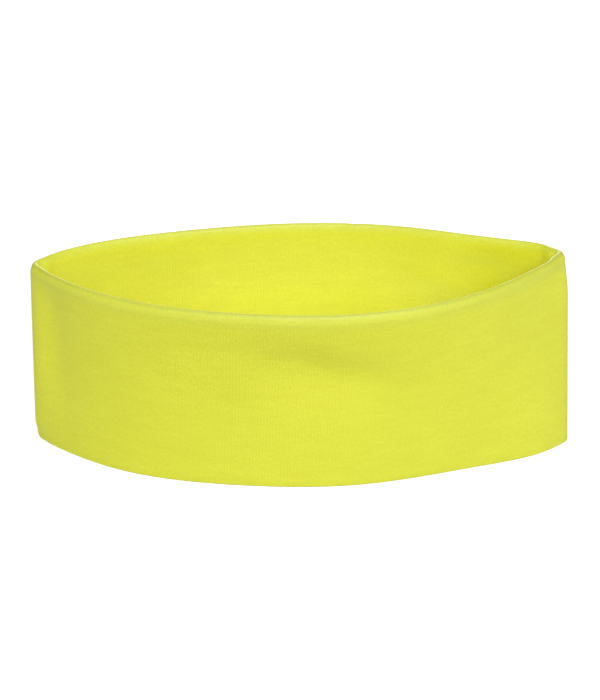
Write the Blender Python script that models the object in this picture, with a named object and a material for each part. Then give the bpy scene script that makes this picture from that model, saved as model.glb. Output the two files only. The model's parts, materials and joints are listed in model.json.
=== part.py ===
"""Jersey sweat headband, standing on its bottom edge and opened as if a head had just left it.

One strip of single jersey is folded over at the top edge. Its two long edges are turned in at the bottom
edge and sewn together inside, and its two ends are joined by a closing seam at the left fold. A blank care
label hangs from that seam on the head side.

Frame: metres, +Z up. The origin is on the surface the band stands on, under the middle of its outline.
+X runs from the left fold to the right fold, and -Y is the front.
"""

import math

import bpy
import numpy as np

# Driving dimensions
MM = 0.001
HEIGHT = 80 * MM
JERSEY = 0.5 * MM  # one layer of the knit
THREAD = 0.25 * MM
THREAD_ROOM = 0.6 * MM  # between a seam allowance and the wall beside it
SEAM_SLIT = 0.1 * MM  # between the two long edges where they are sewn together
ALLOWANCE = 6.5 * MM  # height of the long edges turned in at the bottom
CLOSING_ALLOWANCE = 6 * MM  # width of the strip's ends turned in at the closing seam
STITCH = 4 * MM

# Thickness of the double layer: thick over the turned-in edges, slack in the middle, round at the top fold
HEM_THICKNESS = 2 * (2 * JERSEY + THREAD_ROOM) + SEAM_SLIT
MIDDLE_THICKNESS = 1.8 * MM
SHOULDER_THICKNESS = 2.2 * MM
ROLL_THICKNESS = 2.8 * MM
LEFT_FOLD_THICKNESS = 4.2 * MM
RIGHT_FOLD_THICKNESS = 4.8 * MM
FOLD_REACH = 6.5 * MM  # how far along the wall a fold keeps its thickness
FOLD_FADE = 14 * MM  # where it has thinned to the plain wall
FOLD_ROUNDING = 5.8 * MM

# Heights of the profile's turning points
HEM_TURN = 0.9 * MM
HEM_FLOOR = 0.7 * MM
ABOVE_ALLOWANCE = 8 * MM
LOWER_QUARTER = 24 * MM
MIDDLE = 40 * MM
UPPER_QUARTER = 56 * MM
SHOULDER = 72 * MM
ROLL_START = 78.2 * MM
ROLL_SIDE = 79.5 * MM
WALL_HEIGHTS = (ABOVE_ALLOWANCE, LOWER_QUARTER, MIDDLE, UPPER_QUARTER, SHOULDER, ROLL_START)

# Plan of the outer face in millimetres, each side from the left fold to the right fold
TOP_FRONT = (
    (-109.6, -2.5), (-97, -18.5), (-67, -40.5), (-24, -52.6), (24, -53), (67, -35.5), (97, -6.5), (109.7, 9.2),
)
TOP_BACK = (
    (-109.6, -2.5), (-97, 8.7), (-49, 28.6), (0, 36.5), (49, 31.6), (80, 21.8), (98, 16.6), (109.7, 9.2),
)
BOTTOM_FRONT = (
    (-110.4, 2.5), (-98.5, -9), (-73, -28), (-24, -41.5), (24, -41), (73, -25), (98, -13.5), (111.4, -0.5),
)
BOTTOM_BACK = ((-110.4, 2.5), (-98, 13.5), (-49, 36), (0, 44), (49, 37), (98, 13.5), (111.4, -0.5))

# How the soft walls sag away from straight ones between the folds
FRONT_HOLLOW = 1.6 * MM
CENTRE_HOLLOW = 1.4 * MM
LEFT_HOLLOW = 0.8 * MM
RIGHT_FULLNESS = 1.0 * MM
BACK_BELLY = 2.2 * MM
BACK_BELLY_HEIGHT = 50 * MM
STIFF_NEAR_FOLDS = (4 * MM, 22 * MM)

# Steps along each side: fine round the folds, even along the walls
HALF_LENGTH = 242.5 * MM
CORNER_STEPS = (0.0, 0.9, 1.8, 2.7, 3.7, 5.0, 7.0)
WALL_STEPS = 31

# Care label and its swing
LABEL_LENGTH = 20 * MM
LABEL_HEIGHT = 28 * MM
LABEL_THICKNESS = 0.4 * MM
LABEL_MIDDLE = 39 * MM
LABEL_CLEARANCE = 0.8 * MM  # from the hinge line to the inner corner of the fold
LABEL_REST_ANGLE = math.radians(-20)

# Lockstitch that closes the gap the strip was turned through
GAP_START = 14 * MM
GAP_LENGTH = 38 * MM
GAP_STITCH_HEIGHT = 2 * MM
STITCH_STAND_OFF = 0.1 * MM

JERSEY_YELLOW = (0.73, 0.76, 0.07)
THREAD_YELLOW = (0.78, 0.80, 0.16)
LABEL_WHITE = (0.86, 0.86, 0.84)


def clear_scene():
    for obj in list(bpy.data.objects):
        bpy.data.objects.remove(obj)


def material(name, colour, roughness):
    made = bpy.data.materials.new(name)
    made.use_nodes = True
    shader = made.node_tree.nodes["Principled BSDF"]
    shader.inputs["Base Color"].default_value = (*colour, 1.0)
    shader.inputs["Roughness"].default_value = roughness
    shader.inputs["Metallic"].default_value = 0.0
    made.diffuse_color = (*colour, 1.0)
    return made


def smooth_curve(points, samples=400):
    """A natural cubic spline through the points, with chord length as its parameter."""
    p = np.array(points) * MM
    t = np.concatenate([[0.0], np.cumsum(np.linalg.norm(np.diff(p, axis=0), axis=1))])
    step = np.diff(t)
    count = len(p)
    system = np.eye(count)
    right = np.zeros((count, 2))
    for i in range(1, count - 1):
        system[i, i - 1 : i + 2] = step[i - 1], 2 * (step[i - 1] + step[i]), step[i]
        right[i] = 6 * ((p[i + 1] - p[i]) / step[i] - (p[i] - p[i - 1]) / step[i - 1])
    bend = np.linalg.solve(system, right)
    at = np.linspace(0, t[-1], samples)
    k = np.clip(np.searchsorted(t, at, side="right") - 1, 0, count - 2)
    h = step[k][:, None]
    a = (t[k + 1] - at)[:, None] / h
    b = 1 - a
    return a * p[k] + b * p[k + 1] + ((a**3 - a) * bend[k] + (b**3 - b) * bend[k + 1]) * h**2 / 6


def rounded_corner(before, after):
    """Cuts both curves back from the corner they share, and joins them with a round Bezier span."""
    corner = before[-1]
    before = before[np.linalg.norm(before - corner, axis=1) > FOLD_ROUNDING]
    after = after[np.linalg.norm(after - corner, axis=1) > FOLD_ROUNDING]
    round_handle = 0.552
    first, last = before[-1], after[0]
    one = first + (corner - first) * round_handle
    two = last + (corner - last) * round_handle
    s = np.linspace(0, 1, 41)[:, None]
    span = (1 - s) ** 3 * first + 3 * s * (1 - s) ** 2 * one + 3 * s**2 * (1 - s) * two + s**3 * last
    return before, span, after


def resampled(line, fractions):
    """Points at these fractions of the line's length."""
    run = np.concatenate([[0.0], np.cumsum(np.linalg.norm(np.diff(line, axis=0), axis=1))])
    return np.stack([np.interp(fractions * run[-1], run, line[:, k]) for k in (0, 1)], axis=1)


def half_fractions():
    corner = np.array(CORNER_STEPS) * MM / HALF_LENGTH
    walls = np.linspace(corner[-1], 1 - corner[-1], WALL_STEPS)[1:-1]
    return np.concatenate([corner, walls, 1 - corner[:0:-1]])


def plan_ring(front, back):
    """The outer face's plan, closed: from the left fold along the front, and back along the back."""
    front, right, back = rounded_corner(smooth_curve(front), smooth_curve(back)[::-1])
    back, left, front = rounded_corner(back, front)
    middle = len(left) // 2
    front_half = np.concatenate([left[middle:], front, right[: middle + 1]])
    back_half = np.concatenate([right[middle:], back, left[: middle + 1]])
    at = half_fractions()
    return np.concatenate([resampled(front_half, at), resampled(back_half, at)])


def inward_normals(ring):
    along = np.roll(ring, -1, axis=0) - np.roll(ring, 1, axis=0)
    along /= np.linalg.norm(along, axis=1)[:, None]
    return np.stack([-along[:, 1], along[:, 0]], axis=1)


def bump(x, centre, width):
    return np.exp(-(((x - centre) / width) ** 2))


def eased(x, start, end):
    """Rises from 0 at start to 1 at end, level at both."""
    t = np.clip((x - start) / (end - start), 0, 1)
    return t * t * (3 - 2 * t)


class Wall:
    """The double layer as a map from (place along the ring, depth from a face, height) to a point.

    A place is a number of steps along the ring, 0 at the left fold. Between steps it is read off the straight
    facet, so that what lies in the wall keeps its gaps to the strip's facets.
    """

    def __init__(self):
        top = plan_ring(TOP_FRONT, TOP_BACK)
        bottom = plan_ring(BOTTOM_FRONT, BOTTOM_BACK)
        both = np.concatenate([top, bottom])
        centre = (both.min(axis=0) + both.max(axis=0)) / 2
        self.top = top - centre
        self.bottom = bottom - centre
        self.steps = len(top)
        self.right_fold = self.steps // 2
        self.front = np.arange(self.steps) < self.right_fold
        side = half_fractions()
        self.from_fold = np.tile(np.minimum(side, 1 - side), 2) * HALF_LENGTH

    def outline(self, height):
        ring = self.bottom + (self.top - self.bottom) * height / HEIGHT
        return ring - inward_normals(ring) * self.sag(ring[:, 0], height / HEIGHT)[:, None]

    def sag(self, x, up):
        """How far the wall stands outwards from a straight one: a hollow front and a full back."""
        hollow = FRONT_HOLLOW + CENTRE_HOLLOW * bump(x, 2 * MM, 45 * MM)
        hollow += LEFT_HOLLOW * bump(x, -75 * MM, 22 * MM) - RIGHT_FULLNESS * bump(x, 78 * MM, 30 * MM)
        front = -hollow * 4 * up * (1 - up) * (0.75 + 0.5 * up)
        back = BACK_BELLY * bump(up * HEIGHT, BACK_BELLY_HEIGHT, 16 * MM) * bump(x, -5 * MM, 90 * MM)
        return np.where(self.front, front, back) * eased(self.from_fold, *STIFF_NEAR_FOLDS)

    def distance(self, step):
        """How far this step is from the nearer fold, and the thickness of the band at that fold."""
        fractions = half_fractions()
        fraction = fractions[step % self.right_fold]
        left_side = (fraction < 0.5) == (step < self.right_fold)
        near = min(fraction, 1 - fraction) * HALF_LENGTH
        return near, LEFT_FOLD_THICKNESS if left_side else RIGHT_FOLD_THICKNESS

    def thickness(self, step, height):
        heights = (0, ABOVE_ALLOWANCE, MIDDLE, SHOULDER, ROLL_START)
        sizes = (HEM_THICKNESS, HEM_THICKNESS, MIDDLE_THICKNESS, SHOULDER_THICKNESS, ROLL_THICKNESS)
        plain = np.interp(height, heights, sizes)
        near, at_fold = self.distance(step % self.steps)
        return np.interp(near, (FOLD_REACH, FOLD_FADE), (at_fold, plain))

    def at_step(self, step, side, offset, height):
        """side is 0 for an offset from the outer face, 1 from the inner face and 0.5 from the middle."""
        ring = self.outline(height)
        inward = inward_normals(ring)[step % self.steps]
        depth = side * self.thickness(step, height) + offset
        return np.array([*(ring[step % self.steps] + inward * depth), height])

    def at(self, place, side, offset, height):
        step = math.floor(place)
        before = self.at_step(step, side, offset, height)
        after = self.at_step(step + 1, side, offset, height)
        return before + (after - before) * (place - step)

    def place(self, distance):
        """The place this far along the front from the left fold, or along the back where it is negative."""
        steps = np.arange(self.right_fold + 1)
        place = np.interp(abs(distance), np.append(half_fractions(), 1) * HALF_LENGTH, steps)
        return float(place) if distance >= 0 else self.steps - float(place)


def add_mesh(name, points, faces, surface):
    mesh = bpy.data.meshes.new(name)
    mesh.from_pydata([tuple(p) for p in points], [], faces)
    mesh.materials.append(surface)
    mesh.shade_smooth()
    mesh.set_sharp_from_angle(angle=math.radians(50))
    obj = bpy.data.objects.new(name, mesh)
    bpy.context.scene.collection.objects.link(obj)
    return obj


def loft(sections, closed):
    """Faces that join equal closed rows of points into a ring of rows, or into a bar with two ends."""
    rows, size = len(sections), len(sections[0])
    points = [p for section in sections for p in section]
    faces = []
    for i in range(rows if closed else rows - 1):
        for j in range(size):
            a, b = i * size, (i + 1) % rows * size
            k = (j + 1) % size
            faces.append((a + j, b + j, b + k, a + k))
    if not closed:
        faces.append(tuple(range(size)))
        faces.append(tuple(range(rows * size - 1, (rows - 1) * size - 1, -1)))
    return points, faces


def strip_profile():
    """The strip cut across, as (side, offset, height): the skin first, then the face towards the pocket."""
    tongue = 2 * JERSEY + THREAD_ROOM
    tongue_back = JERSEY + THREAD_ROOM
    flat_start, flat_end = 0.4 * MM, tongue - 0.4 * MM
    roll = 0.45 * MM
    outer_skin = [
        (0, tongue, ALLOWANCE), (0, tongue, HEM_TURN), (0, flat_end, 0), (0, flat_start, 0), (0, 0, HEM_TURN),
        *[(0, 0, height) for height in WALL_HEIGHTS], (0, roll, ROLL_SIDE),
    ]
    outer_pocket = [
        *[(0, JERSEY, height) for height in reversed(WALL_HEIGHTS)],
        (0, JERSEY, HEM_FLOOR), (0, tongue_back, HEM_FLOOR), (0, tongue_back, ALLOWANCE),
    ]

    def mirrored(side):
        return [(1 - s, -offset, height) for s, offset, height in reversed(side)]

    crown, crown_inside = [(0.5, 0, HEIGHT)], [(0.5, 0, HEIGHT - JERSEY)]
    return outer_skin + crown + mirrored(outer_skin) + mirrored(outer_pocket) + crown_inside + outer_pocket


def closing_allowance(wall, surface):
    """The strip's ends, turned in together at the closing seam, in the pocket beside the front wall."""
    root = 0.5 * MM
    bite = 0.25 * MM  # how far the root sits in each wall
    pack = 2 * JERSEY
    foot, head = ABOVE_ALLOWANCE, HEIGHT - 4 * MM
    stops = [-0.2 * MM, root, 2 * root, *(np.array(CORNER_STEPS[2:6]) * MM), CLOSING_ALLOWANCE]
    sections = []
    for stop in stops:
        outer = (0, bite) if stop <= root else (0.5, -pack)
        inner = (1, -bite) if stop <= root else (0.5, pack)
        place = wall.place(stop)
        sections.append([
            wall.at(place, *outer, foot), wall.at(place, *outer, MIDDLE), wall.at(place, *outer, head),
            wall.at(place, *inner, head), wall.at(place, *inner, MIDDLE), wall.at(place, *inner, foot),
        ])
    return add_mesh("closing_allowance", *loft(sections, closed=False), surface)


def join_solids(target, other):
    """Fuses the other solid into the target and keeps it as a hidden guide."""
    other.hide_render = True
    other.hide_set(True)
    other.display_type = "WIRE"
    union = target.modifiers.new("closing allowance", "BOOLEAN")
    union.operation = "UNION"
    union.solver = "EXACT"
    union.object = other


def jersey_strip(wall, surface):
    profile = strip_profile()
    sections = [[wall.at_step(i, *point) for point in profile] for i in range(wall.steps)]
    strip = add_mesh("jersey_strip", *loft(sections, closed=True), surface)
    join_solids(strip, closing_allowance(wall, surface))


def thread(name, points, closed, surface):
    """A line of points as round thread."""
    curve = bpy.data.curves.new(name, "CURVE")
    curve.dimensions = "3D"
    curve.bevel_depth = THREAD / 2
    curve.bevel_resolution = 0
    curve.use_fill_caps = True
    spline = curve.splines.new("POLY")
    spline.points.add(len(points) - 1)
    for target, point in zip(spline.points, points):
        target.co = (*point, 1)
    spline.use_cyclic_u = closed
    curve.materials.append(surface)
    obj = bpy.data.objects.new(name, curve)
    bpy.context.scene.collection.objects.link(obj)


def bottom_seam(wall, surface):
    """Four threads of an overlock seam along the turned-in edges, two needles and two loopers."""
    beside = JERSEY + THREAD_ROOM / 2
    for name, height in (("deep", 1.9 * MM), ("edge", 3.5 * MM)):
        line = [wall.at_step(i, 0, beside, height) for i in range(wall.steps)]
        thread(f"bottom_seam_{name}_needle_thread", line, True, surface)
    legs = 2 * round(2 * HALF_LENGTH / STITCH)
    for name, side, offset, low in (("upper", 0, beside, 4 * MM), ("lower", 1, -beside, 2 * MM)):
        line = []
        for i in range(legs):
            height = low if i % 2 else ALLOWANCE - THREAD
            line.append(wall.at(wall_place(wall, i / legs), side, offset, height))
        thread(f"bottom_seam_{name}_looper_thread", line, True, surface)


def wall_place(wall, fraction):
    """The place at this fraction of the way round the ring."""
    if fraction <= 0.5:
        return wall.place(fraction * 2 * HALF_LENGTH)
    return wall.place(-(1 - fraction) * 2 * HALF_LENGTH)


def closing_seam(wall, surface):
    """Four threads of an overlock seam up the ends that are turned in beside the front wall."""
    beside = JERSEY + THREAD_ROOM / 2
    low, high = ABOVE_ALLOWANCE + 1 * MM, HEIGHT - 5 * MM
    needle_rows = {"deep": 1.5 * MM, "edge": 3.2 * MM}
    for name, along in needle_rows.items():
        line = [wall.at(wall.place(along), 0, beside, z) for z in np.linspace(low, high, 5)]
        thread(f"closing_seam_{name}_needle_thread", line, False, surface)
    legs = 2 * round((high - low) / STITCH)
    edge = CLOSING_ALLOWANCE - THREAD
    for name, side, offset, start in (
        ("upper", 0, beside, needle_rows["edge"] + 2 * THREAD),
        ("lower", 1, -beside, needle_rows["deep"]),
    ):
        line = []
        for i in range(legs + 1):
            ends = (start, edge) if i % 2 == 0 else (edge, start)
            for part in (0, 1 / 3, 2 / 3):
                along = ends[0] + (ends[1] - ends[0]) * part
                height = low + (high - low) * (i + part) / (legs + 1)
                line.append(wall.at(wall.place(along), side, offset, height))
        thread(f"closing_seam_{name}_looper_thread", line, False, surface)


def turning_gap(wall, surface):
    """The two threads of a lockstitch low on the back, which closes the gap the strip was turned through."""
    proud = THREAD / 2 + STITCH_STAND_OFF
    for name, side, offset in (("needle", 0, -proud), ("bobbin", 1, proud)):
        places = [wall.place(-along) for along in np.linspace(GAP_START, GAP_START + GAP_LENGTH, 9)]
        line = [wall.at(place, side, offset, GAP_STITCH_HEIGHT) for place in places]
        thread(f"turning_gap_{name}_thread", line, False, surface)


def care_label(wall, surface):
    """A folded satin label, held at its near edge by the closing seam, on an empty it swings about."""
    corner = wall.at_step(0, 1, LABEL_CLEARANCE, LABEL_MIDDLE)
    hinge = bpy.data.objects.new("label_hinge", None)
    hinge.location = corner
    hinge.rotation_euler.z = LABEL_REST_ANGLE
    bpy.context.scene.collection.objects.link(hinge)
    x = LABEL_LENGTH
    y = LABEL_THICKNESS / 2
    z = LABEL_HEIGHT / 2
    fold = 0.15 * MM
    outline = [(0, -y), (x - fold, -y), (x, -y + fold), (x, y - fold), (x - fold, y), (0, y)]
    sections = [[(px, py, pz) for px, py in outline] for pz in (z, -z)]
    label = add_mesh("care_label", *loft(sections, closed=False), surface)
    label.parent = hinge


def build():
    clear_scene()
    jersey = material("jersey", JERSEY_YELLOW, 0.9)
    yarn = material("sewing_thread", THREAD_YELLOW, 0.7)
    satin = material("label_satin", LABEL_WHITE, 0.45)
    wall = Wall()
    jersey_strip(wall, jersey)
    bottom_seam(wall, yarn)
    closing_seam(wall, yarn)
    turning_gap(wall, yarn)
    care_label(wall, satin)


build()
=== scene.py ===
"""Looks of the jersey sweat headband: its cloth, seams, label, studio floor, light and camera.

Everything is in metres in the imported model's frame: the band stands on z = 0, +X runs from the left fold
with the closing seam to the right fold, and -Y is the front.
"""

import json
import math

import bpy
import numpy as np
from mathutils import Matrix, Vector


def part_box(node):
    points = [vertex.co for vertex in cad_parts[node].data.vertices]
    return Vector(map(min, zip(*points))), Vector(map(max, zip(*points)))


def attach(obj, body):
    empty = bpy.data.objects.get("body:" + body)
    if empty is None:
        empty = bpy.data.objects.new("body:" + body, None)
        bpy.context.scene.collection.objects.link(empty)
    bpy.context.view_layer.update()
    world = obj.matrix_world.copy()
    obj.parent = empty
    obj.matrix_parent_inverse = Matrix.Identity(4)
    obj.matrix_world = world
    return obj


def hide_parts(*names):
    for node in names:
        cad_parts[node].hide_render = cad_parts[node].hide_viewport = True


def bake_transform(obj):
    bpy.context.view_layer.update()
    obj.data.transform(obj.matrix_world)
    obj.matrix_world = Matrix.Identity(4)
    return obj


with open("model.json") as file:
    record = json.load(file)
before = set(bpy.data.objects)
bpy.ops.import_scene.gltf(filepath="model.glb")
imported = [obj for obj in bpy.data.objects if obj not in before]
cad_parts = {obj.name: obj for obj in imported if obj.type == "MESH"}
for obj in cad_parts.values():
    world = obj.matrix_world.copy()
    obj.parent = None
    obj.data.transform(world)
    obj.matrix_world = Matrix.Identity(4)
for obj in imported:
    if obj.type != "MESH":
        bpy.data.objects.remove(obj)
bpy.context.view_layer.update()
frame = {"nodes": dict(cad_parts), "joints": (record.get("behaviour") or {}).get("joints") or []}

MM = 0.001
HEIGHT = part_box("jersey_strip")[1].z
JERSEY = 0.5 * MM
LOOP_LENGTH = 485 * MM
STRIP_WIDTH = 172 * MM
ALLOWANCE = 6.5 * MM

# Plan of the outer face in millimetres, each side from the left fold to the right fold
TOP_FRONT = (
    (-109.6, -2.5), (-97, -18.5), (-67, -40.5), (-24, -52.6),
    (24, -53), (67, -35.5), (97, -6.5), (109.7, 9.2),
)
TOP_BACK = (
    (-109.6, -2.5), (-97, 8.7), (-49, 28.6), (0, 36.5),
    (49, 31.6), (80, 21.8), (98, 16.6), (109.7, 9.2),
)
BOTTOM_FRONT = (
    (-110.4, 2.5), (-98.5, -9), (-73, -28), (-24, -41.5),
    (24, -41), (73, -25), (98, -13.5), (111.4, -0.5),
)
BOTTOM_BACK = (
    (-110.4, 2.5), (-98, 13.5), (-49, 36), (0, 44),
    (49, 37), (98, 13.5), (111.4, -0.5),
)
FOLD_ROUNDING = 5.8 * MM
ROUND_HANDLE = 0.552
CURVE_SAMPLES = 1200
CORNER_SAMPLES = 81

# How the strip is divided: columns round the loop, and rows from one long edge to the other
COLUMNS = 480
FOLD_CROWDING = 0.75
TONGUE_ROWS = 5
TURN_ROWS = 8
WALL_ROWS = 30
ROLL_ROWS = 14

# The strip's middle line across the band
TONGUE_DEPTH = 1.35 * MM
TURN_RADIUS = 0.55 * MM
WALL_DEPTH = JERSEY / 2
TURN_HEIGHT = WALL_DEPTH + TURN_RADIUS
ROLL_START = 76 * MM

# How the soft front sags between the folds: all along, and as (depth, middle, width) in x
FRONT_HOLLOW = 1.6 * MM
FRONT_HOLLOWS = (
    (1.4 * MM, 2 * MM, 45 * MM),
    (0.8 * MM, -75 * MM, 22 * MM),
    (-1.0 * MM, 78 * MM, 30 * MM),
)

# The dent under the middle of the front edge
DENT_DEPTH = 2.7 * MM
DENT_X = 10 * MM
DENT_HALF_LENGTH = 31 * MM
DENT_LINE_X = 6 * MM
DENT_LINE_HEIGHT = 52.5 * MM
DENT_SLOPE = -0.24
DENT_WIDTH_ABOVE = 10 * MM
DENT_WIDTH_BELOW = 16 * MM
DENT_FADE = (61 * MM, 76 * MM)

# The back's swell, and its soft folds as (out, x, half length, height, half width, slope)
BACK_BELLY = 3.4 * MM
BACK_BELLY_X = -5 * MM
BACK_BELLY_REACH = 90 * MM
BACK_BELLY_HEIGHT = 48 * MM
BACK_BELLY_RISE = 16 * MM
BACK_FOLDS = (
    (-1.7 * MM, 51 * MM, 12 * MM, 58 * MM, 10 * MM, 0),
    (2.0 * MM, 77 * MM, 12 * MM, 62 * MM, 10 * MM, 0),
    (-0.6 * MM, 28 * MM, 9 * MM, 67.6 * MM, 3.5 * MM, -1.2),
    (-0.9 * MM, -41 * MM, 7 * MM, 60 * MM, 7 * MM, 0.3),
)
STIFF_NEAR_FOLDS = (4 * MM, 22 * MM)

# How far the head of the right fold and the foot of the left one are drawn in
HEAD_TAPER = 1.25 * MM
HEAD_TAPER_START = 62 * MM
FOOT_TAPER = 1.3 * MM
FOOT_TAPER_END = 9 * MM
TAPER_REACH = 9 * MM

# The closing seam's allowance beside the left fold, as (depth, distance from the fold, half width)
ALLOWANCE_RIDGE = (0.25 * MM, 6 * MM, 3.5 * MM)
ALLOWANCE_VALLEY = (0.9 * MM, 15 * MM, 6.5 * MM)
ALLOWANCE_HEIGHTS = (8 * MM, 44 * MM, 66 * MM, 78 * MM)

# Where the closing seam pulls each layer in
SEAM_DITCH = 0.35 * MM
SEAM_DITCH_WIDTH = 0.6 * MM

# Thickness of the double layer
THICKNESS_HEIGHTS = (0, 8 * MM, 22 * MM, 62 * MM, 76 * MM)
THICKNESS = (3.3 * MM, 3.3 * MM, 1.9 * MM, 1.9 * MM, 2.9 * MM)
LEFT_FOLD_THICKNESS = 4.2 * MM
RIGHT_FOLD_THICKNESS = 4.8 * MM
FOLD_REACH = 6.5 * MM
FOLD_FADE = 14 * MM


def bump(x, centre, width):
    """A smooth rise to 1 at the centre."""
    return np.exp(-(((x - centre) / width) ** 2))


def wave(x, shape):
    """One bump of a given (depth, middle, width)."""
    depth, middle, width = shape
    return depth * bump(x, middle, width)


def eased(x, xs, ys):
    """Like np.interp, with each step eased at both ends."""
    xs, ys = np.array(xs, float), np.array(ys, float)
    k = np.clip(np.searchsorted(xs, x, side="right") - 1, 0, len(xs) - 2)
    t = np.clip((x - xs[k]) / (xs[k + 1] - xs[k]), 0, 1)
    return ys[k] + (ys[k + 1] - ys[k]) * t * t * (3 - 2 * t)


def smooth_curve(points):
    """A natural cubic spline through the points, with chord length as its parameter."""
    p = np.array(points) * MM
    t = run_of(p)
    step = np.diff(t)
    count = len(p)
    system = np.eye(count)
    right = np.zeros((count, 2))
    for i in range(1, count - 1):
        system[i, i - 1 : i + 2] = step[i - 1], 2 * (step[i - 1] + step[i]), step[i]
        right[i] = 6 * ((p[i + 1] - p[i]) / step[i] - (p[i] - p[i - 1]) / step[i - 1])
    bend = np.linalg.solve(system, right)
    at = np.linspace(0, t[-1], CURVE_SAMPLES)
    k = np.clip(np.searchsorted(t, at, side="right") - 1, 0, count - 2)
    h = step[k][:, None]
    a = (t[k + 1] - at)[:, None] / h
    b = 1 - a
    return a * p[k] + b * p[k + 1] + ((a**3 - a) * bend[k] + (b**3 - b) * bend[k + 1]) * h**2 / 6


def rounded_corner(before, after):
    """Cuts both curves back from the corner they share, and joins them with a round Bezier span."""
    corner = before[-1]
    before = before[np.linalg.norm(before - corner, axis=1) > FOLD_ROUNDING]
    after = after[np.linalg.norm(after - corner, axis=1) > FOLD_ROUNDING]
    first, last = before[-1], after[0]
    one = first + (corner - first) * ROUND_HANDLE
    two = last + (corner - last) * ROUND_HANDLE
    s = np.linspace(0, 1, CORNER_SAMPLES)[:, None]
    span = (1 - s) ** 3 * first + 3 * s * (1 - s) ** 2 * one + 3 * s**2 * (1 - s) * two + s**3 * last
    return before, span, after


def run_of(line):
    """The distance along the line at each of its points."""
    return np.concatenate([[0.0], np.cumsum(np.linalg.norm(np.diff(line, axis=0), axis=1))])


def resampled(line, fractions):
    run = run_of(line)
    return np.stack([np.interp(fractions * run[-1], run, line[:, k]) for k in (0, 1)], axis=1)


def half_fractions(count):
    """Places along one side, crowded towards both folds."""
    t = np.arange(count) / count
    return t - FOLD_CROWDING * np.sin(2 * math.pi * t) / (2 * math.pi)


def plan_ring(front, back):
    """The outer face's plan, closed, from the left fold along the front and back again along the back."""
    front, right, back = rounded_corner(smooth_curve(front), smooth_curve(back)[::-1])
    back, left, front = rounded_corner(back, front)
    middle = len(left) // 2
    front_half = np.concatenate([left[middle:], front, right[: middle + 1]])
    back_half = np.concatenate([right[middle:], back, left[: middle + 1]])
    at = half_fractions(COLUMNS // 2)
    return np.concatenate([resampled(front_half, at), resampled(back_half, at)])


def normals(ring):
    """Unit vectors from the closed ring towards its inside."""
    along = np.roll(ring, -1, axis=0) - np.roll(ring, 1, axis=0)
    along /= np.linalg.norm(along, axis=1)[:, None]
    return np.stack([-along[:, 1], along[:, 0]], axis=1)


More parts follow.
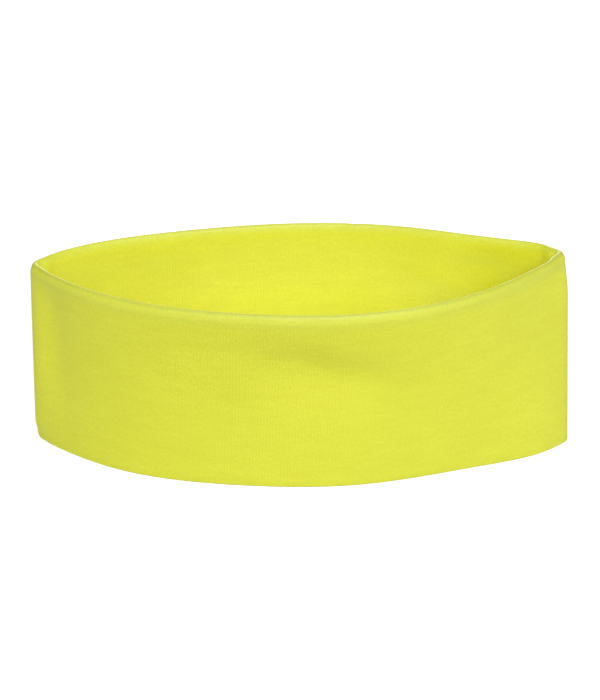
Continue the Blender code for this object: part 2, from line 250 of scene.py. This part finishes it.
class Band:
    """The double layer as a map from (side, offset, height) to a ring of points, one for each column."""

    def __init__(self):
        top = plan_ring(TOP_FRONT, TOP_BACK)
        bottom = plan_ring(BOTTOM_FRONT, BOTTOM_BACK)
        both = np.concatenate([top, bottom])
        centre = (both.min(axis=0) + both.max(axis=0)) / 2
        self.top, self.bottom = top - centre, bottom - centre
        half = half_fractions(COLUMNS // 2)
        self.front = np.arange(COLUMNS) < COLUMNS // 2
        self.along = np.concatenate([half, 1 + half]) / 2 * LOOP_LENGTH
        self.from_left = np.minimum(self.along, LOOP_LENGTH - self.along)
        self.from_right = LOOP_LENGTH / 2 - self.from_left

    def outline(self, height):
        """The outer face's ring at this height."""
        straight = self.bottom + (self.top - self.bottom) * height / HEIGHT
        return straight - normals(straight) * self.folds(straight[:, 0], height)[:, None]

    def folds(self, x, height):
        """How far the soft wall, both layers together, stands outwards from a straight one."""
        clear = eased(np.minimum(self.from_left, self.from_right), STIFF_NEAR_FOLDS, (0, 1))
        soft = np.where(self.front, self.front_folds(x, height), self.back_folds(x, height))
        return soft * clear + self.seam_ridge(height) - self.tapers(height)

    def front_folds(self, x, height):
        """The front is hollow between its two edges, most just above the middle, and has the dent."""
        up = height / HEIGHT
        hollow = FRONT_HOLLOW + sum(wave(x, shape) for shape in FRONT_HOLLOWS)
        return -hollow * 4 * up * (1 - up) * (0.75 + 0.5 * up) - self.dent(x, height)

    def back_folds(self, x, height):
        """The back swells outwards, with a few soft folds."""
        out = BACK_BELLY * bump(height, BACK_BELLY_HEIGHT, BACK_BELLY_RISE)
        out = out * bump(x, BACK_BELLY_X, BACK_BELLY_REACH)
        for rise, middle, length, level, width, slope in BACK_FOLDS:
            line = level + slope * (x - middle)
            out = out + rise * bump(x, middle, length) * bump(height, line, width)
        return out

    def dent(self, x, height):
        """A soft dent that slants down to the right."""
        line = DENT_LINE_HEIGHT + DENT_SLOPE * (x - DENT_LINE_X)
        width = np.where(height > line, DENT_WIDTH_ABOVE, DENT_WIDTH_BELOW)
        deep = bump(height, line, width) * eased(height, DENT_FADE, (1, 0))
        return DENT_DEPTH * deep * bump(x, DENT_X, DENT_HALF_LENGTH)

    def tapers(self, height):
        """The head of the right fold and the foot of the left one are drawn in a little."""
        head = HEAD_TAPER * eased(height, (HEAD_TAPER_START, HEIGHT), (0, 1))
        foot = FOOT_TAPER * eased(height, (0, FOOT_TAPER_END), (1, 0))
        return head * bump(self.from_right, 0, TAPER_REACH) + foot * bump(self.from_left, 0, TAPER_REACH)

    def seam_ridge(self, height):
        """The closing seam's allowance prints through beside the left fold, with a valley after it."""
        ridge = wave(self.from_left, ALLOWANCE_RIDGE) - wave(self.from_left, ALLOWANCE_VALLEY)
        return np.where(self.front, ridge, 0) * eased(height, ALLOWANCE_HEIGHTS, (0, 1, 1, 0))

    def inward(self, height):
        return normals(self.outline(height))

    def thickness(self, height):
        plain = eased(height, THICKNESS_HEIGHTS, THICKNESS)
        at_left = eased(self.from_left, (FOLD_REACH, FOLD_FADE), (LEFT_FOLD_THICKNESS, plain))
        at_right = eased(self.from_right, (FOLD_REACH, FOLD_FADE), (RIGHT_FOLD_THICKNESS, plain))
        return np.where(self.from_left < self.from_right, at_left, at_right)

    def row(self, side, offset, height):
        """Points at this height, inwards from the outer face (side 0) or from the head side (side 1)."""
        ditch = SEAM_DITCH * bump(self.from_left, 0, SEAM_DITCH_WIDTH)
        depth = side * self.thickness(height) + offset + (1 - 2 * side) * ditch
        flat = self.outline(height) + self.inward(height) * depth[:, None]
        return np.column_stack([flat, np.full(COLUMNS, height)])


def side_profile():
    """(offset, height) of the strip's middle line on one side, from its long edge up to the rolled top."""
    tongue = [(TONGUE_DEPTH, h) for h in np.linspace(ALLOWANCE, TURN_HEIGHT, TONGUE_ROWS, endpoint=False)]
    centre = TONGUE_DEPTH - TURN_RADIUS
    turn = []
    for angle in np.linspace(0, math.pi, TURN_ROWS, endpoint=False):
        turn.append((centre + TURN_RADIUS * math.cos(angle), TURN_HEIGHT - TURN_RADIUS * math.sin(angle)))
    wall = [(WALL_DEPTH, h) for h in np.linspace(TURN_HEIGHT, ROLL_START, WALL_ROWS)]
    return tongue + turn + wall


def strip_points(band):
    """The strip's middle surface as rows of columns, from the outer long edge over the top to the inner."""
    outer = [band.row(0, offset, height) for offset, height in side_profile()]
    inner = [band.row(1, -offset, height) for offset, height in side_profile()]
    start, end = outer[-1], inner[-1]
    roll = []
    for angle in np.linspace(0, math.pi, ROLL_ROWS + 2)[1:-1]:
        row = start + (end - start) * (1 - math.cos(angle)) / 2
        row[:, 2] += (HEIGHT - JERSEY / 2 - ROLL_START) * math.sin(angle)
        roll.append(row)
    return np.array(outer + roll + inner[::-1])


def strip_mesh(band):
    """The closed strip, with a UV map in metres: along the loop, and across the strip."""
    rows = strip_points(band)
    count = len(rows)
    steps = np.linalg.norm(np.diff(rows, axis=0), axis=2).mean(axis=1)
    across = np.concatenate([[0.0], np.cumsum(steps)])
    along = np.append(band.along, LOOP_LENGTH)
    index = np.arange(count * COLUMNS).reshape(count, COLUMNS)
    faces = []
    for a, b in zip(index, index[1:]):
        faces.append(np.stack([a, b, np.roll(b, -1), np.roll(a, -1)], axis=1))
    faces = np.concatenate(faces)
    mesh = bpy.data.meshes.new("band_cloth")
    mesh.from_pydata(rows.reshape(-1, 3).tolist(), [], faces.tolist())
    row, column = faces.ravel() // COLUMNS, faces.ravel() % COLUMNS
    wrapped = np.repeat(faces[:, 0] % COLUMNS == COLUMNS - 1, 4) & (column == 0)
    uv = np.stack([along[np.where(wrapped, COLUMNS, column)], across[row]], axis=1)
    mesh.uv_layers.new(name="strip").data.foreach_set("uv", uv.astype(np.float32).ravel())
    mesh.shade_smooth()
    return mesh


def placed(name, data):
    """A new object in the scene."""
    made = bpy.data.objects.new(name, data)
    bpy.context.scene.collection.objects.link(made)
    return made


def thicken(piece, name, thickness):
    """Gives a sheet its thickness, half on each side."""
    solid = piece.modifiers.new(name, "SOLIDIFY")
    solid.thickness = thickness
    solid.offset = 0


def band_cloth(band, surface):
    """The whole strip of jersey, folded over the top edge and turned in at the bottom."""
    mesh = strip_mesh(band)
    cloth = placed("band_cloth", mesh)
    thicken(cloth, "jersey", JERSEY)
    mesh.materials.append(surface)
    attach(cloth, "band")
    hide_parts("jersey_strip")


class Nodes:
    """Short calls for building a node tree."""

    def __init__(self, tree):
        self.tree = tree

    def add(self, kind, inputs=None, **settings):
        node = self.tree.nodes.new(kind)
        for key, value in settings.items():
            setattr(node, key, value)
        for key, value in (inputs or {}).items():
            self.feed(node.inputs[key], value)
        return node

    def feed(self, socket, value):
        if isinstance(value, bpy.types.NodeSocket):
            self.tree.links.new(value, socket)
        else:
            socket.default_value = value

    def math(self, operation, a, b=0.0):
        return self.add("ShaderNodeMath", {0: a, 1: b}, operation=operation).outputs[0]

    def weighted(self, a, weight_a, b, weight_b):
        return self.math("ADD", self.math("MULTIPLY", a, weight_a), self.math("MULTIPLY", b, weight_b))

    def vector(self, operation, a, b):
        return self.add("ShaderNodeVectorMath", {0: a, 1: b}, operation=operation).outputs[0]

    def noise(self, place, frequency, detail=2.0):
        """Noise with its own frequency along each axis."""
        inputs = {"Vector": self.vector("MULTIPLY", place, frequency), "Scale": 1.0, "Detail": detail}
        return self.add("ShaderNodeTexNoise", inputs).outputs["Fac"]

    def mix(self, factor, a, b, blend="MIX"):
        made = self.add("ShaderNodeMix", data_type="RGBA", blend_type=blend)
        self.feed(made.inputs["Factor"], factor)
        self.feed(made.inputs["A"], a)
        self.feed(made.inputs["B"], b)
        return made.outputs["Result"]

    def ramp(self, value, start, end, low=0.0, high=1.0, kind="SMOOTHSTEP"):
        """Goes from low to high while the value goes from start to end."""
        inputs = {"Value": value, "From Min": start, "From Max": end, "To Min": low, "To Max": high}
        return self.add("ShaderNodeMapRange", inputs, interpolation_type=kind).outputs[0]

    def away(self, value, centre):
        return self.math("ABSOLUTE", self.math("SUBTRACT", value, centre))

    def relief(self, shader, height, strength, depth):
        made = self.add("ShaderNodeBump", {"Height": height, "Strength": strength, "Distance": depth})
        self.feed(shader.inputs["Normal"], made.outputs[0])


def principled(name, roughness=0.5):
    """A new material, its Principled shader, and short calls for its node tree."""
    made = bpy.data.materials.new(name)
    made.use_nodes = True
    shader = made.node_tree.nodes["Principled BSDF"]
    shader.inputs["Roughness"].default_value = roughness
    return made, shader, Nodes(made.node_tree)


# The knit: one column of stitches, one row, how steeply a stitch's legs climb, and the depth of it all
WALE = 1.25 * MM
COURSE = 0.9 * MM
STITCH_CLIMB = 1.1
KNIT_DEPTH = 0.12 * MM

# How fine the unevenness is: frequencies per metre along the loop and across the strip
FUZZ = (900, 2200, 1)
STREAKS = (260, 1500, 1)
CLOUDS = (30, 30, 1)
PATCHES = (90, 60, 1)
GRAIN = (1100, 700, 1)
SMUDGES = (70, 260, 1)

# The dye between its deepest and its palest, the painted shade in the furrows, and what the grain turns it
# to: each span is the part of its noise that counts, and each share how much of the colour goes over at most
DYE_DEEP = (0.835, 0.855, 0.0395, 1)
DYE_PALE = (0.895, 0.915, 0.0475, 1)
DYE_SPAN = (0.35, 0.65)
FURROW_SHADE_YELLOW = (0.66, 0.66, 0.03, 1)
FURROW_SHADE_SHARE = 0.13
GRAIN_YELLOW = (0.74, 0.735, 0.025, 1)
GRAIN_SPAN = (0.38, 0.62)
GRAIN_SHARE = 0.44

# Where the outer face shows its knit more strongly, round the dent: middle and reach on the strip, where
# that starts and ends to fade as shares of the reach, and how much it adds to the furrows' painted shade and
# to the grain
PROMINENT_MIDDLE = (100 * MM, 65 * MM, 0)
PROMINENT_REACH = (60 * MM, 31 * MM)
PROMINENT_FADES = (0.25, 1.1)
PROMINENT_FURROW_SHADE = 1.8
PROMINENT_GRAIN = 0.55
PLAIN_GRAIN = 0.95

# Painted light in the colour: a pale painted sheen on the rolled top edge, painted shade on its crest, on
# the head side and more at its narrow right end, and where each one fades out or starts, as distances on the
# strip
FOLD_LINE = STRIP_WIDTH / 2
FOLD_SHEEN_TINT = (0.913, 0.934, 1.37, 1)
FOLD_SHEEN_FADES = (2.0 * MM, 7.0 * MM)
CREST_LINE = FOLD_LINE + 0.8 * MM
CREST_SHADE_TINT = (0.74, 0.79, 0.94, 1)
CREST_SHADE_FADES = (0.2 * MM, 0.9 * MM)
CREST_SHADE_SHARE = 0.45
HEAD_SIDE_SHADE_TINT = (0.905, 0.89, 0.72, 1)
HEAD_SIDE_SHADE_STARTS = (FOLD_LINE + 0.5 * MM, FOLD_LINE + 7 * MM)
NARROW_END_SHADE_TINT = (0.955, 0.955, 0.45, 1)
NARROW_END_SHADE_FADES = (32 * MM, 55 * MM)


def jersey_material():
    """Neon single jersey: columns of small V stitches, a light fuzz, uneven dye, and painted shade and
    sheen.
    """
    made, shader, n = principled("jersey", roughness=0.55)
    uv = n.add("ShaderNodeUVMap", uv_map="strip").outputs[0]
    along, across = n.add("ShaderNodeSeparateXYZ", {0: uv}).outputs[:2]
    wale = n.math("DIVIDE", along, WALE)
    column = n.math("COSINE", n.math("MULTIPLY", wale, 2 * math.pi))
    n.relief(shader, knit_height(n, uv, across, wale, column), strength=0.35, depth=KNIT_DEPTH)
    colour = grained(n, uv, column, dyed(n, uv))
    n.feed(shader.inputs["Base Color"], painted_light(n, along, across, colour))
    shader.inputs["Specular IOR Level"].default_value = 0.6
    return made


def knit_height(n, uv, across, wale, column):
    """The rounded columns, the slanted legs of their stitches, and the fuzz over both."""
    in_wale = n.away(n.math("FRACT", wale), 0.5)
    course = n.math("ADD", n.math("DIVIDE", across, COURSE), n.math("MULTIPLY", in_wale, STITCH_CLIMB))
    legs = n.math("SINE", n.math("MULTIPLY", course, 2 * math.pi))
    stitch = n.weighted(column, -0.5, legs, 0.25)
    fuzz = n.noise(uv, FUZZ, detail=3.0)
    return n.weighted(stitch, 0.5, fuzz, 0.9)


def dyed(n, uv):
    """Short streaks along the rows and broad clouds between the dye's two ends."""
    streak = n.noise(uv, STREAKS, detail=3.0)
    cloud = n.noise(uv, CLOUDS)
    shade = n.ramp(n.weighted(streak, 0.5, cloud, 0.5), *DYE_SPAN, kind="LINEAR")
    return n.mix(shade, DYE_DEEP, DYE_PALE)


def grained(n, uv, column, colour):
    """Painted shade in the furrows between the wales, in patches, and a fine grain, both stronger round the
    dent.
    """
    from_middle = n.vector("SUBTRACT", uv, PROMINENT_MIDDLE)
    from_middle = n.vector("MULTIPLY", from_middle, (1 / PROMINENT_REACH[0], 1 / PROMINENT_REACH[1], 0))
    distance = n.add("ShaderNodeVectorMath", {0: from_middle}, operation="LENGTH").outputs["Value"]
    prominent = n.ramp(distance, *PROMINENT_FADES, 1.0, 0.0)
    patchy = n.noise(uv, PATCHES)
    patchy = n.math("MULTIPLY", patchy, n.math("ADD", 1.0, n.math("MULTIPLY", prominent, PROMINENT_FURROW_SHADE)))
    # Painted shade: the furrows between the wales are darkened, in patches
    furrow_shade = n.math("ADD", n.math("MULTIPLY", column, 0.5), 0.5)
    furrow_shade = n.math("MULTIPLY", furrow_shade, n.math("MULTIPLY", patchy, FURROW_SHADE_SHARE))
    colour = n.mix(furrow_shade, colour, FURROW_SHADE_YELLOW)
    fine = n.noise(uv, GRAIN)
    smudge = n.noise(uv, SMUDGES)
    grain = n.ramp(n.weighted(fine, 0.65, smudge, 0.35), *GRAIN_SPAN, 0.0, GRAIN_SHARE, "LINEAR")
    stronger = n.math("ADD", PLAIN_GRAIN, n.math("MULTIPLY", prominent, PROMINENT_GRAIN))
    return n.mix(n.math("MULTIPLY", grain, stronger), colour, GRAIN_YELLOW)


def painted_light(n, along, across, colour):
    """Painted sheen on the top edge, painted shade on its crest, the head side and near the right fold."""
    # Painted sheen along the rolled top edge, then painted shade on its crest
    fold_sheen = n.ramp(n.away(across, FOLD_LINE), *FOLD_SHEEN_FADES, 1.0, 0.0)
    colour = n.mix(fold_sheen, colour, FOLD_SHEEN_TINT, "MULTIPLY")
    crest_shade = n.ramp(n.away(across, CREST_LINE), *CREST_SHADE_FADES, CREST_SHADE_SHARE, 0.0)
    colour = n.mix(crest_shade, colour, CREST_SHADE_TINT, "MULTIPLY")
    # Painted shade on the head side, deeper near its narrow right end
    head_side_shade = n.ramp(across, *HEAD_SIDE_SHADE_STARTS)
    colour = n.mix(head_side_shade, colour, HEAD_SIDE_SHADE_TINT, "MULTIPLY")
    narrow_end_shade = n.ramp(n.away(along, LOOP_LENGTH / 2), *NARROW_END_SHADE_FADES, 1.0, 0.0)
    return n.mix(n.math("MULTIPLY", narrow_end_shade, head_side_shade), colour, NARROW_END_SHADE_TINT, "MULTIPLY")


YARN_DEEP = (0.62, 0.65, 0.08, 1)
YARN_PALE = (0.86, 0.88, 0.20, 1)
YARN_LAY = math.radians(38)


def thread_material():
    """Soft textured yarn: two plies laid up in a slant."""
    made, shader, n = principled("sewing_thread", roughness=0.6)
    place = n.add("ShaderNodeTexCoord").outputs["Object"]
    turned = n.add("ShaderNodeVectorRotate", {"Vector": place, "Angle": YARN_LAY}, rotation_type="Y_AXIS")
    inputs = {"Vector": turned.outputs[0], "Scale": 450.0, "Distortion": 1.5, "Detail": 1.0}
    ply = n.add("ShaderNodeTexWave", inputs, bands_direction="X").outputs["Fac"]
    n.feed(shader.inputs["Base Color"], n.mix(ply, YARN_DEEP, YARN_PALE))
    n.relief(shader, ply, strength=0.6, depth=0.05 * MM)
    shader.inputs["Sheen Weight"].default_value = 0.3
    return made


SATIN_DEEP = (0.76, 0.76, 0.73, 1)
SATIN_PALE = (0.92, 0.92, 0.91, 1)
SATIN_FLOATS = (700, 6000, 1)


def label_material():
    """White satin ribbon: long floats along it, fine ribs across it, and a lustre."""
    made, shader, n = principled("label_satin")
    uv = n.add("ShaderNodeUVMap", uv_map="ribbon").outputs[0]
    floats = n.noise(uv, SATIN_FLOATS)
    inputs = {"Vector": uv, "Scale": 620.0, "Distortion": 0.6}
    ribs = n.add("ShaderNodeTexWave", inputs, bands_direction="Y").outputs["Fac"]
    weave = n.weighted(floats, 0.7, ribs, 0.3)
    n.feed(shader.inputs["Base Color"], n.mix(weave, SATIN_DEEP, SATIN_PALE))
    n.relief(shader, weave, strength=0.35, depth=0.05 * MM)
    n.feed(shader.inputs["Roughness"], n.math("ADD", n.math("MULTIPLY", floats, 0.2), 0.28))
    shader.inputs["Sheen Weight"].default_value = 0.25
    return made


# Lockstitch over the turning gap: along the back from the left fold, and one stitch
GAP_START = 14 * MM
GAP_END = 52 * MM
GAP_STITCH_HEIGHT = 2 * MM
STITCH_LENGTH = 2.9 * MM
STITCH_PITCH = 3.25 * MM
STITCH_PROUD = 0.16 * MM
STITCH_SUNK = 0.25 * MM
STITCH_RADIUS = 0.14 * MM
STITCH_POINTS = 13


def gap_stitches(band, surface, name, side):
    """One row of rounded stitches low on the back, each sinking into the cloth at both ends."""
    back = ~band.front
    distance = LOOP_LENGTH - band.along[back][::-1]
    face = band.row(side, 0, GAP_STITCH_HEIGHT)[back][::-1]
    into_cloth = band.inward(GAP_STITCH_HEIGHT)[back][::-1] * (1 - 2 * side)
    curve = bpy.data.curves.new(name, "CURVE")
    curve.dimensions = "3D"
    curve.bevel_depth = STITCH_RADIUS
    curve.bevel_resolution = 3
    curve.use_fill_caps = True
    for i in range(round((GAP_END - GAP_START) / STITCH_PITCH)):
        spline = curve.splines.new("POLY")
        spline.points.add(STITCH_POINTS - 1)
        for target, place in zip(spline.points, np.linspace(0, 1, STITCH_POINTS)):
            at = GAP_START + i * STITCH_PITCH + place * STITCH_LENGTH
            sink = STITCH_SUNK - (STITCH_SUNK + STITCH_PROUD) * math.sin(math.pi * place) ** 0.5
            x, y, z = (np.interp(at, distance, values) for values in face.T)
            in_x, in_y = (np.interp(at, distance, values) for values in into_cloth.T)
            target.co = (x + in_x * sink, y + in_y * sink, z, 1)
    curve.materials.append(surface)
    stitches = placed(name, curve)
    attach(stitches, "band")
    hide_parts(name.replace("stitches", "thread"))


# Folded ribbon of the care label
RIBBON_WIDTH = 28 * MM
RIBBON_LENGTH = 40 * MM
RIBBON_THICKNESS = 0.13 * MM
LABEL_ANGLE = math.radians(-20)
LABEL_TIP_RADIUS = 0.55 * MM
LABEL_ROOT_GAP = 0.1 * MM
LABEL_ROOT_SUNK = 1.5 * MM
LABEL_OPENING = 1.6
LABEL_BOW = 0.9 * MM
LABEL_BOW_AT_MIDDLE = 0.6
LEAF_STEPS = 26
TIP_STEPS = 12
RIBBON_COLUMNS = 28


def ribbon_path():
    """The folded ribbon from above, as (along, beside): one leaf out, round the tip, and the other back."""
    leaf = RIBBON_LENGTH / 2 - math.pi * LABEL_TIP_RADIUS / 2
    out = []
    for t in np.linspace(0, 1, LEAF_STEPS):
        beside = LABEL_ROOT_GAP + (LABEL_TIP_RADIUS - LABEL_ROOT_GAP) * t**LABEL_OPENING
        out.append((-LABEL_ROOT_SUNK + t * leaf, beside))
    centre = out[-1][0]
    tip = []
    for angle in np.linspace(math.pi / 2, -math.pi / 2, TIP_STEPS + 2)[1:-1]:
        tip.append((centre + LABEL_TIP_RADIUS * math.cos(angle), LABEL_TIP_RADIUS * math.sin(angle)))
    return np.array(out + tip + [(along, -beside) for along, beside in reversed(out)])


def ribbon_mesh(root):
    """The ribbon as columns of the path, bowed more towards its upper edge, with a UV map in metres."""
    path = ribbon_path()
    run = run_of(path)
    points, uvs, faces = [], [], []
    for lift in np.linspace(-0.5, 0.5, RIBBON_COLUMNS):
        height = lift * RIBBON_WIDTH
        for (along, beside), distance in zip(path, run):
            share = max(along, 0) / (RIBBON_LENGTH / 2)
            bowed = beside + LABEL_BOW * share**2 * (LABEL_BOW_AT_MIDDLE + lift)
            x = along * math.cos(LABEL_ANGLE) - bowed * math.sin(LABEL_ANGLE)
            y = along * math.sin(LABEL_ANGLE) + bowed * math.cos(LABEL_ANGLE)
            points.append((root.x + x, root.y + y, root.z + height))
            uvs.append((distance, height))
    rows = len(path)
    for i in range(RIBBON_COLUMNS - 1):
        for j in range(rows - 1):
            a = i * rows + j
            faces.append((a, a + rows, a + rows + 1, a + 1))
    mesh = bpy.data.meshes.new("care_label_ribbon")
    mesh.from_pydata(points, [], faces)
    layer = mesh.uv_layers.new(name="ribbon")
    for loop in mesh.loops:
        layer.data[loop.index].uv = uvs[loop.vertex_index]
    mesh.shade_smooth()
    return mesh


def care_label(surface):
    """The folded satin label, its root at the hinge in the closing seam."""
    hinge = Vector(next(j for j in frame["joints"] if j["name"] == "label_swing")["pos_m"])
    label = placed("care_label_ribbon", ribbon_mesh(hinge))
    label.data.materials.append(surface)
    thicken(label, "ribbon", RIBBON_THICKNESS)
    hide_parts("care_label")
    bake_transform(label)


# Soft square lamps that face the band's middle: name, azimuth from the front towards the right and elevation
# in degrees, distance, size, power, and colour
LIGHTS = (
    ("key", 10, 34, 1.6, 0.7, 16.3, (1, 1, 1.4)),
    ("fill_left", -62, 3, 1.6, 0.7, 3.7, (1, 1, 0.45)),
    ("fill_right", 60, 8, 1.6, 0.7, 2.2, (1, 1, 1.2)),
    ("behind", 180, 12, 1.5, 0.9, 14, (1, 1, 1.1)),
)
MIDDLE = Vector((0, 0, HEIGHT / 2))

# The floor inside the opening as a lamp of its own: middle, size, radiance and colour
OPENING_FLOOR = (0.006, 0.006, 0.0015)
OPENING_FLOOR_SIZE = (0.104, 0.036)
OPENING_FLOOR_GLOW = 1.74
OPENING_FLOOR_COLOUR = (1, 1, 0.75)

WORLD_COLOUR = (0.98, 1.0, 0.88, 1)
WORLD_STRENGTH = 0.33
FLOOR_WHITE = (0.92, 0.92, 0.92, 1)
FLOOR_GLOW = 0.5
FLOOR_REACH = 4.0


def studio():
    """A pale floor, an even surround, soft lamps on all sides, and one in the opening."""
    studio_floor()
    world = bpy.data.worlds.new("studio")
    world.use_nodes = True
    surround = world.node_tree.nodes["Background"]
    surround.inputs["Color"].default_value = WORLD_COLOUR
    surround.inputs["Strength"].default_value = WORLD_STRENGTH
    bpy.context.scene.world = world
    for light in LIGHTS:
        soft_lamp(*light)
    opening_floor()


def studio_floor():
    """A white floor that glows a little, without lighting the band."""
    corners = [(x * FLOOR_REACH, y * FLOOR_REACH, 0) for x, y in ((-1, -1), (1, -1), (1, 1), (-1, 1))]
    mesh = bpy.data.meshes.new("studio_floor")
    mesh.from_pydata(corners, [], [(0, 1, 2, 3)])
    surface, shader, _ = principled("floor_white", roughness=0.9)
    shader.inputs["Base Color"].default_value = FLOOR_WHITE
    shader.inputs["Specular IOR Level"].default_value = 0.1
    shader.inputs["Emission Color"].default_value = (1, 1, 1, 1)
    shader.inputs["Emission Strength"].default_value = FLOOR_GLOW
    mesh.materials.append(surface)
    floor = placed("studio_floor", mesh)
    floor.visible_diffuse = False


def soft_lamp(name, azimuth, elevation, distance, size, power, colour):
    light = bpy.data.lights.new(name, "AREA")
    light.shape = "SQUARE"
    light.size = size
    light.energy = power
    light.color = colour
    azimuth, elevation = math.radians(azimuth), math.radians(elevation)
    level = Vector((math.sin(azimuth), -math.cos(azimuth), 0)) * math.cos(elevation)
    towards = level + Vector((0, 0, math.sin(elevation)))
    lamp = placed(name, light)
    lamp.location = MIDDLE + towards * distance
    lamp.rotation_euler = towards.to_track_quat("Z", "Y").to_euler()


def opening_floor():
    """The white floor between the two walls sends light up them."""
    light = bpy.data.lights.new("opening_floor", "AREA")
    light.shape = "RECTANGLE"
    light.color = OPENING_FLOOR_COLOUR
    light.size, light.size_y = OPENING_FLOOR_SIZE
    light.energy = OPENING_FLOOR_GLOW * math.pi * light.size * light.size_y
    lamp = placed("opening_floor", light)
    lamp.location = OPENING_FLOOR
    lamp.rotation_euler = (math.pi, 0, 0)
    lamp.visible_camera = False


# The camera looks down at the front; its sensor and lens are in millimetres
CAMERA_DISTANCE = 1.5
CAMERA_ELEVATION = math.radians(26)
CAMERA_AIM = (-0.0006, 0.0052, 0.04)
SENSOR = 36.0
LENS = 223.3


def camera():
    data = bpy.data.cameras.new("camera")
    data.sensor_fit = "HORIZONTAL"
    data.sensor_width = SENSOR
    data.lens = LENS
    away = Vector((0, -math.cos(CAMERA_ELEVATION), math.sin(CAMERA_ELEVATION)))
    eye = placed("camera", data)
    eye.location = Vector(CAMERA_AIM) + away * CAMERA_DISTANCE
    eye.rotation_euler = (-away).to_track_quat("-Z", "Y").to_euler()
    bpy.context.scene.camera = eye


def build():
    bpy.context.scene.view_settings.view_transform = "Standard"
    camera()
    studio()
    yarn = thread_material()
    for name, node in frame["nodes"].items():
        if name.endswith("thread"):
            node.data.materials.clear()
            node.data.materials.append(yarn)
    band = Band()
    band_cloth(band, jersey_material())
    gap_stitches(band, yarn, "turning_gap_needle_stitches", 0)
    gap_stitches(band, yarn, "turning_gap_bobbin_stitches", 1)
    care_label(label_material())


build()
